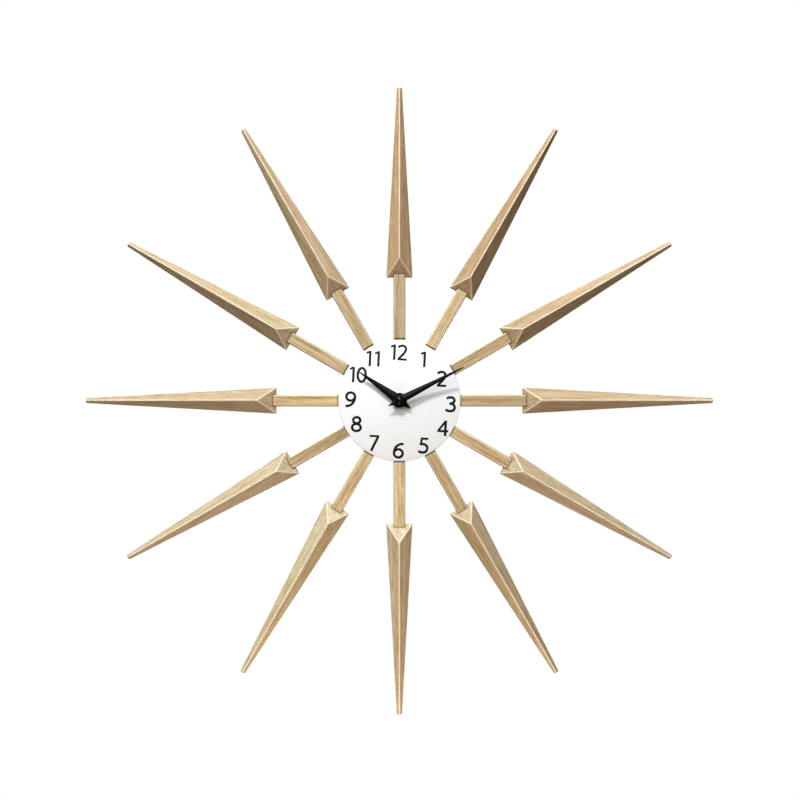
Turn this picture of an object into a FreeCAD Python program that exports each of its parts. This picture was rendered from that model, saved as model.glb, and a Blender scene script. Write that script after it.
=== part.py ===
"""Sunburst wall clock with a quartz movement, one STEP file per piece.

Modelling frame, millimetres: X right, Y up (12 o'clock), Z out of the wall towards the
viewer, origin on the hand axis at the wall.  save() turns this upright, so that in the
written files +Z is up, the wall is the plane y = 0 and the dial faces -Y.
"""
import FreeCAD
import Part
import math
import os

Vector = FreeCAD.Vector

# ---------------------------------------------------------------- driving dimensions
HOURS = 12
TIP_RADIUS = 305.0            # overall diameter 610 mm

# hub housing: an open-backed cup that stands against the wall
HUB_RADIUS = 52.0
HUB_WALL = 2.2
PANEL_BACK = 17.5             # the front panel of the cup, which carries the spokes
PANEL_FRONT = 20.0
HUB_EDGE_RADIUS = 1.5
BOSS_RADIUS = 9.0
BOSS_FOOT_RADIUS = 14.0

# spoke bars
BAR_WIDTH = 11.6
BAR_FRONT_WIDTH = 10.4
BAR_DEPTH = 5.2
BAR_EDGE_RADIUS = 0.8
BAR_SHOULDER_RADIUS = 60.2    # where the visible bar starts, just outside the dial
TENON_INNER_RADIUS = 27.0
TENON_DEPTH = 3.0
BAR_OUTER_RADIUS = 139.6

# ray heads, the long faceted spearheads
HEAD_BASE_RADIUS = 119.6
HEAD_BASE_WIDTH = 25.5
HEAD_TIP_WIDTH = 4.9
HEAD_PLINTH = 3.0
HEAD_DRAFT = 0.1              # side wall lean, mm inward per mm of height
RIDGE_START_RADIUS = 138.4
RIDGE_START_HEIGHT = 15.0
RIDGE_TIP_HEIGHT = 3.7
HEAD_EDGE_RADIUS = 0.7
HEAD_TIP_RADIUS = 1.7
MORTISE_CLEARANCE = 0.1
RIDGE_FALL = (RIDGE_START_HEIGHT - RIDGE_TIP_HEIGHT) / (TIP_RADIUS - RIDGE_START_RADIUS)
HEAD_TAPER = (HEAD_BASE_WIDTH - HEAD_TIP_WIDTH) / 2 / (TIP_RADIUS - HEAD_BASE_RADIUS)

# spoke screws
SCREW_RADII = (38.0, 46.0)
SCREW_SHANK_R = 1.25
SCREW_HEAD_R = 2.75
SCREW_HEAD_HEIGHT = 1.6
SCREW_HEAD_EDGE = 0.5
SCREW_SLOT_DEPTH = 0.7
SCREW_SLOT = (1.6, 0.3)       # half length and half width
SCREW_TIP = 22.6

# dial: a domed disc clamped on the boss by the shaft nut
DIAL_RADIUS = 59.2
DIAL_SHEET = 1.0
DIAL_RIM_BACK = 23.2
DIAL_RIM_FRONT = DIAL_RIM_BACK + DIAL_SHEET
DIAL_DOME = 6.0
DIAL_FLAT_RADIUS = 9.0
DIAL_FRONT = DIAL_RIM_FRONT + DIAL_DOME
DIAL_HOLE_R = 4.05
DIAL_EDGE_RADIUS = 0.8

# hanger plate with its keyhole
HANGER_FRONT = 2.0
HANGER_THICKNESS = 1.2
HANGER_HALF_WIDTH = 17.0
HANGER_BOTTOM = 30.5
HANGER_TOP = 46.0
KEYHOLE_Y = 35.5
KEYHOLE_R = 4.0
KEYHOLE_SLOT_R = 2.1
KEYHOLE_SLOT_TOP = 42.5
HANGER_SCREWS_AT = ((-12.5, 38.5), (12.5, 38.5))
HANGER_SCREW_TIP = 9.0
HANGER_BOSS_R = 3.0
HANGER_CORNER_R = 3.0

# movement case
CASE_HALF = 28.0
CASE_WALL = 1.5
CASE_BACK = 0.7
CASE_FRONT = 16.7
CASE_FRONT_WALL = 1.0
CASE_INNER = CASE_HALF - CASE_WALL
CASE_FLOOR = CASE_FRONT - CASE_FRONT_WALL
BUSHING_R = 3.95
BUSHING_BORE_R = 2.5
BUSHING_TOP = 32.5
COVER_BACK = 2.7
COVER_FRONT = 3.9
PARTITION_TOP = -10.8
PARTITION_BOTTOM = -11.8
BRIDGE_BACK = 10.3
BRIDGE_FRONT = 11.1
FIT = 0.05                    # radial running clearance
PIVOT_R = 0.4
PIVOT_BACK = 3.2              # rear end of every pivot, inside the cover

# battery, size AA, lying across the bottom of the case
BATTERY_R = 7.25
BATTERY_LENGTH = 50.5
BATTERY_Y = -19.2
BATTERY_Z = 8.3
BATTERY_TOP_X = 25.9
BATTERY_NUB_R = 2.7
BATTERY_NUB_LENGTH = 1.2

# gear train: teeth and modules
PRESSURE_ANGLE = math.radians(20)
BACKLASH = 0.05               # taken off the width of every tooth
DEDENDUM = 1.25
WHEEL_ADDENDUM = 0.65
PINION_ADDENDUM = 0.95
ROTOR_PINION = 10
INTERMEDIATE_WHEEL = 60
ROTOR_MODULE = 0.25
INTERMEDIATE_PINION = 10
SECONDS_WHEEL = 50
SECONDS_MODULE = 0.38
SECONDS_PINION = 10
THIRD_WHEEL = 75
THIRD_MODULE = 0.27
THIRD_PINION = 10
CENTRE_WHEEL = 80
CENTRE_MODULE = 0.255
CANNON_PINION = 12
MOTION_WHEEL = 36
CANNON_MODULE = 0.5
MOTION_PINION = 10
HOUR_WHEEL = 40
HOUR_MODULE = 0.48
KNOB_PINION = 12

# where each arbor stands: distance follows from the gears, direction is chosen here
THIRD_DIRECTION = math.radians(120)
INTERMEDIATE_DIRECTION = math.radians(20)
ROTOR_DIRECTION = math.radians(65)
MOTION_DIRECTION = math.radians(165)
KNOB_DIRECTION = math.radians(120)

# arbors on the hand axis
SECONDS_ARBOR_R = 0.5
SECONDS_ARBOR_TOP = 37.5
MINUTE_TUBE_R = 1.5
MINUTE_TUBE_TOP = 38.8
HOUR_TUBE_R = 2.45
HOUR_TUBE_TOP = 34.1

# hands
HOUR_HAND_LENGTH = 48.0
HOUR_HAND_WIDTH = 10.1
HOUR_HAND_END = 0.9            # width of the blunt point
HOUR_HAND_TAIL = 14.3
HOUR_HAND_BACK = 33.2
HOUR_HUB_R = 7.0
HOUR_HUB_BACK = 32.8
HOUR_HUB_TOP = 34.4
HOUR_DISH_R = 5.9
HOUR_DISH_FLOOR_R = 4.4
HOUR_DISH_DEPTH = 0.7
MINUTE_HAND_LENGTH = 70.0
MINUTE_HAND_WIDTH = 7.8
MINUTE_HAND_END = 1.2
MINUTE_HAND_TAIL = 13.0
MINUTE_HAND_BACK = 36.6
MINUTE_HUB_R = 4.8
MINUTE_HUB_BACK = 36.0
MINUTE_HUB_TOP = 37.8
HAND_EDGE = 0.35
HAND_CREASE = 1.0
HAND_HUB_EDGE = 0.4
HOUR_HAND_ANGLE = 305.25      # clockwise from 12
MINUTE_HAND_ANGLE = 62.8
CAP_NUT_R = 3.2
CAP_NUT_RIM = 38.8
CAP_NUT_TOP = 40.2


# ---------------------------------------------------------------- helpers
def save(name, shape):
    """Turn a piece from the modelling frame upright and write it."""
    upright = shape.copy()
    upright.rotate(Vector(0, 0, 0), Vector(1, 0, 0), 90)
    upright.exportStep(f"parts/{name}.step")


def disc(radius, z0, z1, centre=(0.0, 0.0)):
    return Part.makeCylinder(radius, z1 - z0, Vector(centre[0], centre[1], z0))


def ring(outer, inner, z0, z1, centre=(0.0, 0.0)):
    return disc(outer, z0, z1, centre).cut(disc(inner, z0 - 1, z1 + 1, centre))


def block(x0, x1, y0, y1, z0, z1):
    return Part.makeBox(x1 - x0, y1 - y0, z1 - z0, Vector(x0, y0, z0))


def fuse(*shapes):
    return shapes[0].multiFuse(list(shapes[1:])).removeSplitter()


def extrude(points, vector):
    """A prism over a closed polygon."""
    return Part.Face(Part.makePolygon(points + points[:1])).extrude(vector)


def polar(radius, angle, start=(0.0, 0.0)):
    return (start[0] + radius * math.cos(angle), start[1] + radius * math.sin(angle))


def rounded_plate(x0, x1, y0, y1, z0, z1, radius):
    """A plate with its four corners rounded."""
    plate = block(x0, x1, y0, y1, z0, z1)
    corners = [edge for edge in plate.Edges if abs(edge.tangentAt(edge.FirstParameter).z) > 0.9]
    return plate.makeFillet(radius, corners)


def at_hour(shape, hour):
    """Turn a piece built along +X so that it points at an hour of the dial."""
    turned = shape.copy()
    turned.rotate(Vector(0, 0, 0), Vector(0, 0, 1), 90 - 360.0 * hour / HOURS)
    return turned


def top_edges(shape, height):
    """Edges that lie wholly at one height."""
    return [edge for edge in shape.Edges
            if all(abs(vertex.Point.z - height) < 1e-4 for vertex in edge.Vertexes)]


# ---------------------------------------------------------------- gears
def involute(angle):
    return math.tan(angle) - angle


def gear(teeth, module, addendum, z0, z1, centre, phase):
    """A spur gear with involute flanks drawn as arcs.  phase is where one tooth points."""
    pitch_r = teeth * module / 2
    base_r = pitch_r * math.cos(PRESSURE_ANGLE)
    root_r = pitch_r - DEDENDUM * module
    tip_r = pitch_r + addendum * module
    start_r = max(base_r, root_r)
    flank_root = math.pi / (2 * teeth) - BACKLASH / (2 * pitch_r) + involute(PRESSURE_ANGLE)

    def point(radius, middle, side):
        half = flank_root - involute(math.acos(min(1.0, base_r / radius)))
        x, y = polar(radius, middle + side * half, centre)
        return Vector(x, y, z0)

    edges = []
    for tooth in range(teeth):
        middle = phase + 2 * math.pi * tooth / teeth
        following = middle + 2 * math.pi / teeth
        right = [point(radius, middle, -1) for radius in (start_r, (start_r + tip_r) / 2, tip_r)]
        left = [point(radius, middle, 1) for radius in (tip_r, (start_r + tip_r) / 2, start_r)]
        root = point(root_r, middle, 1)
        next_root = point(root_r, following, -1)
        edges.append(Part.Arc(*right).toShape())
        edges.append(Part.LineSegment(right[2], left[0]).toShape())
        edges.append(Part.Arc(*left).toShape())
        if base_r > root_r:
            edges.append(Part.LineSegment(left[2], root).toShape())
        edges.append(Part.LineSegment(root, next_root).toShape())
        if base_r > root_r:
            edges.append(Part.LineSegment(next_root, point(start_r, following, -1)).toShape())
    return Part.Face(Part.Wire(edges)).extrude(Vector(0, 0, z1 - z0))


def meshing_phase(teeth, driver_teeth, driver_phase, direction):
    """The phase that puts a gear in mesh with its driver, which lies opposite direction."""
    turned = driver_phase - direction
    return direction + math.pi + math.pi / teeth - turned * driver_teeth / teeth


def distance(teeth_a, teeth_b, module):
    return (teeth_a + teeth_b) * module / 2


AXIS = (0.0, 0.0)
THIRD_AT = polar(distance(SECONDS_PINION, THIRD_WHEEL, THIRD_MODULE), THIRD_DIRECTION)
INTERMEDIATE_AT = polar(distance(INTERMEDIATE_PINION, SECONDS_WHEEL, SECONDS_MODULE),
                        INTERMEDIATE_DIRECTION)
ROTOR_AT = polar(distance(ROTOR_PINION, INTERMEDIATE_WHEEL, ROTOR_MODULE),
                 ROTOR_DIRECTION, INTERMEDIATE_AT)
MOTION_AT = polar(distance(CANNON_PINION, MOTION_WHEEL, CANNON_MODULE), MOTION_DIRECTION)
KNOB_AT = polar(distance(KNOB_PINION, MOTION_WHEEL, CANNON_MODULE), KNOB_DIRECTION, MOTION_AT)

# the layers of the train, from the back of the movement to its front
SECONDS_LAYER = (5.2, 5.9)
THIRD_LAYER = (6.4, 7.1)
INTERMEDIATE_LAYER = (7.7, 8.3)
CENTRE_LAYER = (9.0, 9.8)
CANNON_LAYER = (11.3, 12.6)
MOTION_LAYER = (11.5, 12.4)
HOUR_LAYER = (13.2, 14.0)
CLUTCH_LAYER = (CENTRE_LAYER[1] + 0.15, BRIDGE_BACK - 0.1)
MAGNET_LAYER = (4.6, 7.2)
FLANGE_LAYER = (CENTRE_LAYER[0] - 0.6, CENTRE_LAYER[0] - 0.1)
ROTOR_PINION_TOP = 8.6
INTERMEDIATE_PINION_LAYER = (4.9, 6.2)
SECONDS_PINION_TOP = 7.4
THIRD_PINION_LAYER = (8.8, 10.0)
MOTION_PINION_TOP = 14.4
MAGNET_R = 3.0
FLANGE_R = 2.3
CLUTCH_R = 2.4
CLUTCH_ARM_END = 4.6
CLUTCH_ARM_WIDTH = 1.2
KNOB_R = 5.0
KNOB_GROOVES = 20
KNOB_GROOVE_R = 0.6
KNOB_PIVOT_R = 0.8
BODY_BACK = COVER_FRONT + 0.2
BODY_FRONT = BRIDGE_BACK - 0.2
ARBOR_R = 0.7
STAGE_ARBOR_R = 0.6
KNOB_SHAFT_R = 1.2
MOTION_POST_R = 0.8


def train_arbor(radius, centre):
    """An arbor between the cover and the bridge, with a thinner pivot at each end."""
    pivot = disc(PIVOT_R, PIVOT_BACK, BRIDGE_FRONT - 0.1, centre)
    return fuse(disc(radius, BODY_BACK, BODY_FRONT, centre), pivot)


def rotor():
    """Magnet rotor of the stepping motor, with the pinion that starts the train."""
    magnet = disc(MAGNET_R, *MAGNET_LAYER, ROTOR_AT)
    pinion = gear(ROTOR_PINION, ROTOR_MODULE, PINION_ADDENDUM, MAGNET_LAYER[1], ROTOR_PINION_TOP,
                  ROTOR_AT, 0.0)
    return fuse(train_arbor(STAGE_ARBOR_R, ROTOR_AT), magnet, pinion)


def intermediate_wheel():
    phase = meshing_phase(INTERMEDIATE_WHEEL, ROTOR_PINION, 0.0, ROTOR_DIRECTION + math.pi)
    wheel = gear(INTERMEDIATE_WHEEL, ROTOR_MODULE, WHEEL_ADDENDUM, *INTERMEDIATE_LAYER,
                 INTERMEDIATE_AT, phase)
    pinion = gear(INTERMEDIATE_PINION, SECONDS_MODULE, PINION_ADDENDUM,
                  *INTERMEDIATE_PINION_LAYER, INTERMEDIATE_AT, 0.0)
    return fuse(train_arbor(ARBOR_R, INTERMEDIATE_AT), wheel, pinion)


def seconds_wheel():
    """Seconds wheel, whose long arbor runs up inside the minute tube."""
    phase = meshing_phase(SECONDS_WHEEL, INTERMEDIATE_PINION, 0.0, INTERMEDIATE_DIRECTION + math.pi)
    wheel = gear(SECONDS_WHEEL, SECONDS_MODULE, WHEEL_ADDENDUM, *SECONDS_LAYER, AXIS, phase)
    pinion = gear(SECONDS_PINION, THIRD_MODULE, PINION_ADDENDUM, SECONDS_LAYER[1],
                  SECONDS_PINION_TOP, AXIS, 0.0)
    return fuse(disc(SECONDS_ARBOR_R, PIVOT_BACK, SECONDS_ARBOR_TOP), wheel, pinion)


def third_wheel():
    phase = meshing_phase(THIRD_WHEEL, SECONDS_PINION, 0.0, THIRD_DIRECTION)
    wheel = gear(THIRD_WHEEL, THIRD_MODULE, WHEEL_ADDENDUM, *THIRD_LAYER, THIRD_AT, phase)
    pinion = gear(THIRD_PINION, CENTRE_MODULE, PINION_ADDENDUM, *THIRD_PINION_LAYER,
                  THIRD_AT, 0.0)
    return fuse(train_arbor(ARBOR_R, THIRD_AT), wheel, pinion)


def centre_wheel():
    """Centre wheel, a slipping fit on the minute arbor."""
    phase = meshing_phase(CENTRE_WHEEL, THIRD_PINION, 0.0, THIRD_DIRECTION + math.pi)
    wheel = gear(CENTRE_WHEEL, CENTRE_MODULE, WHEEL_ADDENDUM, *CENTRE_LAYER, AXIS, phase)
    return wheel.cut(disc(MINUTE_TUBE_R + FIT, 0, CENTRE_LAYER[1] + 1))


def clutch_washer():
    """Three-armed spring washer that presses on the centre wheel."""
    washer = ring(CLUTCH_R, MINUTE_TUBE_R, *CLUTCH_LAYER)
    arms = []
    for turn in (0, 120, 240):
        arm = block(CLUTCH_R - 0.6, CLUTCH_ARM_END, -CLUTCH_ARM_WIDTH / 2, CLUTCH_ARM_WIDTH / 2,
                    *CLUTCH_LAYER)
        arm.rotate(Vector(0, 0, 0), Vector(0, 0, 1), turn)
        arms.append(arm)
    return fuse(washer, *arms)


def minute_arbor():
    """Minute tube with the flange that carries the centre wheel."""
    flange = disc(FLANGE_R, *FLANGE_LAYER)
    tube = disc(MINUTE_TUBE_R, FLANGE_LAYER[0], MINUTE_TUBE_TOP)
    bore = disc(SECONDS_ARBOR_R + FIT, 0, MINUTE_TUBE_TOP + 1)
    return fuse(tube, flange).cut(bore)


def cannon_pinion():
    pinion = gear(CANNON_PINION, CANNON_MODULE, PINION_ADDENDUM, *CANNON_LAYER, AXIS, 0.0)
    return pinion.cut(disc(MINUTE_TUBE_R, 0, CANNON_LAYER[1] + 1))


def motion_wheel():
    phase = meshing_phase(MOTION_WHEEL, CANNON_PINION, 0.0, MOTION_DIRECTION)
    wheel = gear(MOTION_WHEEL, CANNON_MODULE, WHEEL_ADDENDUM, *MOTION_LAYER, MOTION_AT, phase)
    pinion = gear(MOTION_PINION, HOUR_MODULE, PINION_ADDENDUM, MOTION_LAYER[1],
                  MOTION_PINION_TOP, MOTION_AT, 0.0)
    return fuse(wheel, pinion).cut(disc(MOTION_POST_R + FIT, 0, CASE_FRONT, MOTION_AT))


def hour_wheel():
    """Hour wheel and its tube, which runs on the minute tube."""
    phase = meshing_phase(HOUR_WHEEL, MOTION_PINION, 0.0, MOTION_DIRECTION + math.pi)
    wheel = gear(HOUR_WHEEL, HOUR_MODULE, WHEEL_ADDENDUM, *HOUR_LAYER, AXIS, phase)
    tube = disc(HOUR_TUBE_R, CANNON_LAYER[1] + 0.2, HOUR_TUBE_TOP)
    return fuse(wheel, tube).cut(disc(MINUTE_TUBE_R + FIT, 0, HOUR_TUBE_TOP + 1))


def set_knob():
    """Hand-setting knob at the back, with its shaft and pinion."""
    phase = meshing_phase(KNOB_PINION, MOTION_WHEEL,
                          meshing_phase(MOTION_WHEEL, CANNON_PINION, 0.0, MOTION_DIRECTION),
                          KNOB_DIRECTION)
    knob_back = CASE_BACK
    knob_front = COVER_BACK - 0.25
    knob = disc(KNOB_R, knob_back, knob_front, KNOB_AT)
    for index in range(KNOB_GROOVES):
        groove_at = polar(KNOB_R + KNOB_GROOVE_R / 2, 2 * math.pi * index / KNOB_GROOVES, KNOB_AT)
        knob = knob.cut(disc(KNOB_GROOVE_R, knob_back - 1, knob_front + 1, groove_at))
    shaft = disc(KNOB_SHAFT_R, knob_front, CANNON_LAYER[0], KNOB_AT)
    pivot = disc(KNOB_PIVOT_R, CANNON_LAYER[0], CASE_FLOOR - 1.0, KNOB_AT)
    pinion = gear(KNOB_PINION, CANNON_MODULE, PINION_ADDENDUM, *CANNON_LAYER, KNOB_AT, phase)
    return fuse(knob, shaft, pivot, pinion)


# ---------------------------------------------------------------- movement
BRIDGE_POSTS = ((14.5, -7.5), (-4.0, 19.0), (-18.0, -7.0))
CORNER_POSTS = ((25.0, 25.0), (-24.8, 24.8), (-24.8, 6.5))
CORE_Y = 22.6
CORE_Z = (6.2, 7.2)
CORE_HALF_WIDTH = 1.3
STATOR_LAYER = (5.2, 6.2)
STATOR_X = (-0.8, 22.8)
STATOR_LUG = 3.6
COIL_X = (3.4, 18.6)
COIL_FLANGE = 0.8
COIL_SPOOL_R = 1.7
COIL_R = 2.6
BOARD_LAYER = (4.3, 5.1)
BATTERY_SLOT_X = 26.0
CORNER_POST_R = 1.4
BRIDGE_POST_R = 1.5
BRIDGE_PIN_R = 0.8
KNOB_BOSS_R = 2.2
KNOB_BOSS_HEIGHT = 2.2
CASE_CORNER_R = 2.0
COVER_GROOVES = 5
COVER_GROOVE_PITCH = 2.2
COVER_GROOVE_WIDTH = 1.0
COVER_GROOVE_DEPTH = 0.5
STATOR_EYE_R = 5.2
STATOR_BORE_R = 3.35
STATOR_BAR_WIDTH = 4.0


def movement_case():
    """Front half of the movement: box, battery bay, threaded bushing and posts."""
    shell = rounded_plate(-CASE_HALF, CASE_HALF, -CASE_HALF, CASE_HALF, CASE_BACK, CASE_FRONT,
                          CASE_CORNER_R)
    hollow = block(-CASE_INNER, CASE_INNER, -CASE_INNER, CASE_INNER, CASE_BACK - 1, CASE_FLOOR)
    partition = block(-CASE_INNER, CASE_INNER, PARTITION_BOTTOM, PARTITION_TOP,
                      COVER_BACK, CASE_FLOOR)
    for side in (-1, 1):
        x0, x1 = sorted((side * (BATTERY_SLOT_X - 0.2), side * CASE_INNER))
        partition = partition.cut(block(x0, x1, PARTITION_BOTTOM - 1, PARTITION_TOP + 1, 4.0, 12.5))
    posts = [disc(CORNER_POST_R, COVER_FRONT, CASE_FLOOR, at) for at in CORNER_POSTS]
    for at in BRIDGE_POSTS:
        posts.append(disc(BRIDGE_POST_R, BRIDGE_FRONT, CASE_FLOOR, at))
        posts.append(disc(BRIDGE_PIN_R, BRIDGE_BACK - 0.3, BRIDGE_FRONT, at))
    posts.append(disc(MOTION_POST_R, BRIDGE_FRONT + 0.1, CASE_FLOOR, MOTION_AT))
    knob_boss = ring(KNOB_BOSS_R, KNOB_PIVOT_R + FIT, CASE_FLOOR - KNOB_BOSS_HEIGHT, CASE_FLOOR,
                     KNOB_AT)
    bushing = disc(BUSHING_R, CASE_FRONT, BUSHING_TOP)
    case = fuse(shell.cut(hollow), partition, bushing, knob_boss, *posts)
    return case.cut(disc(BUSHING_BORE_R, 0, BUSHING_TOP + 1))


def movement_cover():
    """Rear cover over the train, with blind pivot holes and five shallow grooves."""
    gap = 0.1
    cover = rounded_plate(-CASE_INNER + gap, CASE_INNER - gap, PARTITION_TOP + gap,
                          CASE_INNER - gap, COVER_BACK, COVER_FRONT, 0.8)
    for at in (ROTOR_AT, INTERMEDIATE_AT, THIRD_AT):
        cover = cover.cut(disc(PIVOT_R + FIT, PIVOT_BACK - 0.1, COVER_FRONT + 1, at))
    cover = cover.cut(disc(SECONDS_ARBOR_R + FIT, PIVOT_BACK - 0.1, COVER_FRONT + 1))
    cover = cover.cut(disc(KNOB_SHAFT_R + FIT, COVER_BACK - 1, COVER_FRONT + 1, KNOB_AT))
    for index in range(COVER_GROOVES):
        y = -7.0 + COVER_GROOVE_PITCH * index
        groove = block(-22, -8, y, y + COVER_GROOVE_WIDTH, COVER_BACK - 1,
                       COVER_BACK + COVER_GROOVE_DEPTH)
        cover = cover.cut(groove)
    return cover


def gear_bridge():
    """Plate that holds the front pivots and the minute tube."""
    bridge = rounded_plate(-20.6, 18.0, -9.6, 21.0, BRIDGE_BACK, BRIDGE_FRONT, 3.0)
    for at in (ROTOR_AT, INTERMEDIATE_AT, THIRD_AT):
        bridge = bridge.cut(disc(PIVOT_R + FIT, BRIDGE_BACK - 1, BRIDGE_FRONT + 1, at))
    bridge = bridge.cut(disc(MINUTE_TUBE_R + FIT, BRIDGE_BACK - 1, BRIDGE_FRONT + 1))
    bridge = bridge.cut(disc(KNOB_SHAFT_R + FIT, BRIDGE_BACK - 1, BRIDGE_FRONT + 1, KNOB_AT))
    for at in BRIDGE_POSTS:
        bridge = bridge.cut(disc(BRIDGE_PIN_R, BRIDGE_BACK - 1, BRIDGE_FRONT + 1, at))
    return bridge


def circuit_board():
    """U-shaped board that links both battery contacts, the chip and the coil."""
    left = block(-BATTERY_SLOT_X, -9.8, -10.5, 3.0, *BOARD_LAYER)
    strip = block(-10.5, BATTERY_SLOT_X, -10.5, -9.9, *BOARD_LAYER)
    right = block(21.5, BATTERY_SLOT_X, -10.5, 18.5, *BOARD_LAYER)
    return fuse(left, strip, right)


def quartz_crystal():
    return Part.makeCylinder(1.0, 6.0, Vector(-22.5, -7.0, BOARD_LAYER[1] + 1.0), Vector(1, 0, 0))


def control_chip():
    return rounded_plate(-22.0, -18.0, -3.6, 0.4, BOARD_LAYER[1], BOARD_LAYER[1] + 0.9, 1.0)


def coil_core():
    return block(*STATOR_X, CORE_Y - CORE_HALF_WIDTH, CORE_Y + CORE_HALF_WIDTH, *CORE_Z)


def coil_bobbin():
    """Spool with a square window for the core."""
    middle = Vector(COIL_X[0], CORE_Y, sum(CORE_Z) / 2)
    along = Vector(1, 0, 0)
    spool = Part.makeCylinder(COIL_SPOOL_R, COIL_X[1] - COIL_X[0], middle, along)
    near = Part.makeCylinder(COIL_R + 0.1, COIL_FLANGE, middle, along)
    far = near.copy()
    far.translate(Vector(COIL_X[1] - COIL_X[0] - COIL_FLANGE, 0, 0))
    window = block(COIL_X[0] - 1, COIL_X[1] + 1, CORE_Y - CORE_HALF_WIDTH,
                   CORE_Y + CORE_HALF_WIDTH, *CORE_Z)
    return fuse(spool, near, far).cut(window)


def coil_winding():
    start = Vector(COIL_X[0] + COIL_FLANGE, CORE_Y, sum(CORE_Z) / 2)
    length = COIL_X[1] - COIL_X[0] - 2 * COIL_FLANGE
    along = Vector(1, 0, 0)
    outside = Part.makeCylinder(COIL_R, length, start, along)
    return outside.cut(Part.makeCylinder(COIL_SPOOL_R, length, start, along))


def stator():
    """Stator plate round the rotor, with a lug under each end of the coil core."""
    bar_y = (ROTOR_AT[1] - STATOR_BAR_WIDTH / 2, ROTOR_AT[1] + STATOR_BAR_WIDTH / 2)
    lug_top = CORE_Y + CORE_HALF_WIDTH
    bar = block(*STATOR_X, *bar_y, *STATOR_LAYER)
    near_lug = block(STATOR_X[0], STATOR_X[0] + STATOR_LUG, bar_y[0], lug_top, *STATOR_LAYER)
    far_lug = block(STATOR_X[1] - STATOR_LUG, STATOR_X[1], bar_y[0], lug_top, *STATOR_LAYER)
    eye = disc(STATOR_EYE_R, *STATOR_LAYER, ROTOR_AT)
    return fuse(bar, near_lug, far_lug, eye).cut(disc(STATOR_BORE_R, 0, CASE_FRONT, ROTOR_AT))


def battery():
    """AA cell lying along X, with its positive button at +X."""
    along = Vector(1, 0, 0)
    body_length = BATTERY_LENGTH - BATTERY_NUB_LENGTH
    start = Vector(BATTERY_TOP_X - BATTERY_LENGTH, BATTERY_Y, BATTERY_Z)
    can = Part.makeCylinder(BATTERY_R, body_length, start, along)
    can = can.makeFillet(0.6, [edge for edge in can.Edges if len(edge.Vertexes) == 1])
    nub = Part.makeCylinder(BATTERY_NUB_R, BATTERY_NUB_LENGTH, start + along * body_length, along)
    return fuse(can, nub)


def contact_positive():
    """Flat spring-steel leaf against the end wall, with a tab up to the board."""
    leaf = block(BATTERY_SLOT_X, CASE_INNER - 0.1, -24.0, PARTITION_BOTTOM - 2.6, 4.3, 12.3)
    tab = block(BATTERY_SLOT_X, CASE_INNER - 0.1, PARTITION_BOTTOM - 2.6, -9.4, 4.3, 7.3)
    return fuse(leaf, tab)


def contact_negative():
    """Leaf with a bowed spring strip that presses on the flat end of the cell."""
    leaf = block(-CASE_INNER + 0.1, -BATTERY_SLOT_X, -24.5, PARTITION_BOTTOM - 1.6, 4.3, 12.3)
    tab = block(-CASE_INNER + 0.1, -BATTERY_SLOT_X, PARTITION_BOTTOM - 1.6, -9.4, 4.3, 7.3)
    crest = BATTERY_TOP_X - BATTERY_LENGTH - 0.1
    thickness = 0.3
    z0 = BATTERY_Z - 3.0

    def bow(offset):
        reach = 4.6 - offset
        return Part.Arc(Vector(-BATTERY_SLOT_X, BATTERY_Y - reach, z0),
                        Vector(crest - offset, BATTERY_Y, z0),
                        Vector(-BATTERY_SLOT_X, BATTERY_Y + reach, z0)).toShape()

    def side(sign):
        return Part.LineSegment(Vector(-BATTERY_SLOT_X, BATTERY_Y + sign * 4.6, z0),
                                Vector(-BATTERY_SLOT_X, BATTERY_Y + sign * (4.6 - thickness), z0))

    outline = Part.Wire(Part.__sortEdges__([bow(0.0), side(1).toShape(), bow(thickness),
                                            side(-1).toShape()]))
    strip = Part.Face(outline).extrude(Vector(0, 0, 6.0))
    return fuse(leaf, tab, strip)


# ---------------------------------------------------------------- body of the clock
def hub_housing():
    """Open-backed cup with the boss that carries the dial."""
    inner = HUB_RADIUS - HUB_WALL
    outside = disc(HUB_RADIUS, 0, PANEL_FRONT)
    outside = outside.makeFillet(HUB_EDGE_RADIUS, top_edges(outside, PANEL_FRONT))
    cup = outside.cut(disc(inner, -1, PANEL_BACK))
    boss = Part.makeCone(BOSS_FOOT_RADIUS, BOSS_RADIUS, DIAL_FRONT - DIAL_SHEET - PANEL_FRONT,
                         Vector(0, 0, PANEL_FRONT))
    hanger_bosses = [disc(HANGER_BOSS_R, HANGER_FRONT, PANEL_BACK, at) for at in HANGER_SCREWS_AT]
    housing = fuse(cup, boss, *hanger_bosses)
    housing = housing.cut(disc(BUSHING_R + FIT, 0, DIAL_FRONT))
    for at in HANGER_SCREWS_AT:
        housing = housing.cut(disc(SCREW_SHANK_R, 0, HANGER_SCREW_TIP + 1, at))
    for hour in range(1, HOURS + 1):
        for radius in SCREW_RADII:
            hole = Part.makeCylinder(SCREW_SHANK_R, 4, Vector(radius, 0, PANEL_BACK - 0.5))
            housing = housing.cut(at_hour(hole, hour))
    return housing


def bar_section(grow, depth):
    """Cross-section of a bar as (across, height) corners, wider at the back."""
    slope = (BAR_WIDTH - BAR_FRONT_WIDTH) / 2 / BAR_DEPTH
    back = BAR_WIDTH / 2 + grow
    front = back - slope * depth
    return [(-back, 0.0), (back, 0.0), (front, depth), (-front, depth)]


def bar_prism(x0, x1, grow, depth):
    points = [Vector(x0, across, PANEL_FRONT + height) for across, height in bar_section(grow, depth)]
    return extrude(points, Vector(x1 - x0, 0, 0))


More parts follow.
